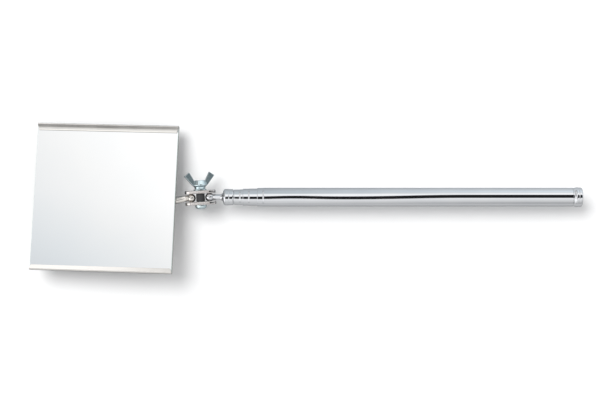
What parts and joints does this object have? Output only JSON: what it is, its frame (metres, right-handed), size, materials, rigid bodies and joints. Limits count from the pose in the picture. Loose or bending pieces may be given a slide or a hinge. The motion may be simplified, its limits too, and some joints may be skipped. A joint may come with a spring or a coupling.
{
  "type": "telescoping inspection mirror",
  "caption": "Square inspection mirror in a folded sheet frame, on a double ball clamp with a wing nut and a telescoping chromed tube rod.",
  "frame": {"origin": "centre of the handle's flat butt face, on the rod's axis", "axes": "+X along the rod and out of the butt, so the mirror head is at -X; +Y along the clamp bolt towards the wing nut; +Z out of the mirror's face"},
  "size_m": [0.3853, 0.1058, 0.0278],
  "materials": {
    "outer_tube_chrome": "bright chrome plate on steel tube",
    "end_cap_chrome": "bright chrome plate",
    "inner_tube_chrome": "bright chrome plate on steel tube, faint sliding marks",
    "sleeve_brass": "plain spring brass",
    "tip_chrome": "bright chrome plate, turned",
    "clamp_nickel": "warm nickel plate, tumbled edges",
    "spacer_rubber": "matt black rubber",
    "bolt_zinc": "bright zinc with a blue passivate",
    "washer_zinc": "bright zinc with a blue passivate",
    "nut_zinc": "bright zinc with a blue passivate",
    "stem_nickel": "warm nickel plate",
    "bracket_steel": "pressed stainless sheet",
    "rivet_steel": "plain steel rivet",
    "frame_stainless": "fine brushed stainless sheet",
    "backing_felt": "thin foam adhesive sheet",
    "mirror_glass": "silvered glass with ground edges"
  },
  "bodies": {
    "handle": {"outer_tube": "outer_tube_chrome", "end_cap": "end_cap_chrome"},
    "stage_1": {"tube_1": "inner_tube_chrome", "friction_sleeve_1": "sleeve_brass"},
    "stage_2": {"tube_2": "inner_tube_chrome", "friction_sleeve_2": "sleeve_brass"},
    "stage_3": {"friction_sleeve_3": "sleeve_brass"},
    "rod": {"tube_3": "inner_tube_chrome", "tip_collar": "tip_chrome"},
    "ball_at_tip": {"tip_ball": "tip_chrome"},
    "clamp": {"clamp_plate_lower": "clamp_nickel", "clamp_bolt": "bolt_zinc", "plate_spacer": "spacer_rubber"},
    "pressure_side": {"clamp_plate_upper": "clamp_nickel", "washer": "washer_zinc"},
    "nut": {"wing_nut": "nut_zinc"},
    "ball_at_mirror": {"mirror_ball": "stem_nickel"},
    "head": {"mirror_frame": "frame_stainless", "mirror_plate": "mirror_glass", "mirror_backing_sheet": "backing_felt", "head_bracket": "bracket_steel", "bracket_rivet_1": "rivet_steel", "bracket_rivet_2": "rivet_steel", "bracket_rivet_3": "rivet_steel", "bracket_rivet_4": "rivet_steel", "ball_stem": "stem_nickel"}
  },
  "joints": [
    {"name": "tube_1_slide", "type": "slide", "parent": "handle", "child": "stage_1", "axis": [-1, 0, 0], "range_m": [0, 0.202]},
    {"name": "tube_2_slide", "type": "slide", "parent": "stage_1", "child": "stage_2", "axis": [-1, 0, 0], "range_m": [0, 0.204]},
    {"name": "tube_3_slide", "type": "slide", "parent": "stage_2", "child": "stage_3", "axis": [-1, 0, 0], "range_m": [0, 0.204]},
    {"name": "rod_spin", "type": "hinge", "parent": "stage_3", "child": "rod", "pos_m": [-0.24, 0, 0], "axis": [1, 0, 0], "continuous": true},
    {"name": "clamp_tilt", "type": "hinge", "parent": "rod", "child": "ball_at_tip", "pos_m": [-0.2599, 0, 0], "axis": [0, 0, 1], "range_deg": [-11.4, 4.6]},
    {"name": "clamp_swing", "type": "hinge", "parent": "ball_at_tip", "child": "clamp", "pos_m": [-0.2599, 0, 0], "axis": [-0.0593, 0.9982, 0], "range_deg": [-120, 120]},
    {"name": "clamp_release", "type": "slide", "parent": "clamp", "child": "pressure_side", "axis": [-0.0593, 0.9982, 0], "range_m": [0, 0.0014]},
    {"name": "wing_nut_turn", "type": "hinge", "parent": "pressure_side", "child": "nut", "pos_m": [-0.26624, -0.00038, 0], "axis": [-0.0593, 0.9982, 0], "range_deg": [0, 720]},
    {"name": "mirror_swing", "type": "hinge", "parent": "clamp", "child": "ball_at_mirror", "pos_m": [-0.27258, -0.00075, 0], "axis": [0.0593, -0.9982, 0], "range_deg": [-105, 105]},
    {"name": "mirror_roll", "type": "hinge", "parent": "ball_at_mirror", "child": "head", "pos_m": [-0.27258, -0.00075, 0], "axis": [0.9982, 0.0593, 0], "continuous": true}
  ],
  "couplings": [
    {"joint": "wing_nut_turn", "follows": "clamp_release", "rad_per_m": 8976}
  ]
}
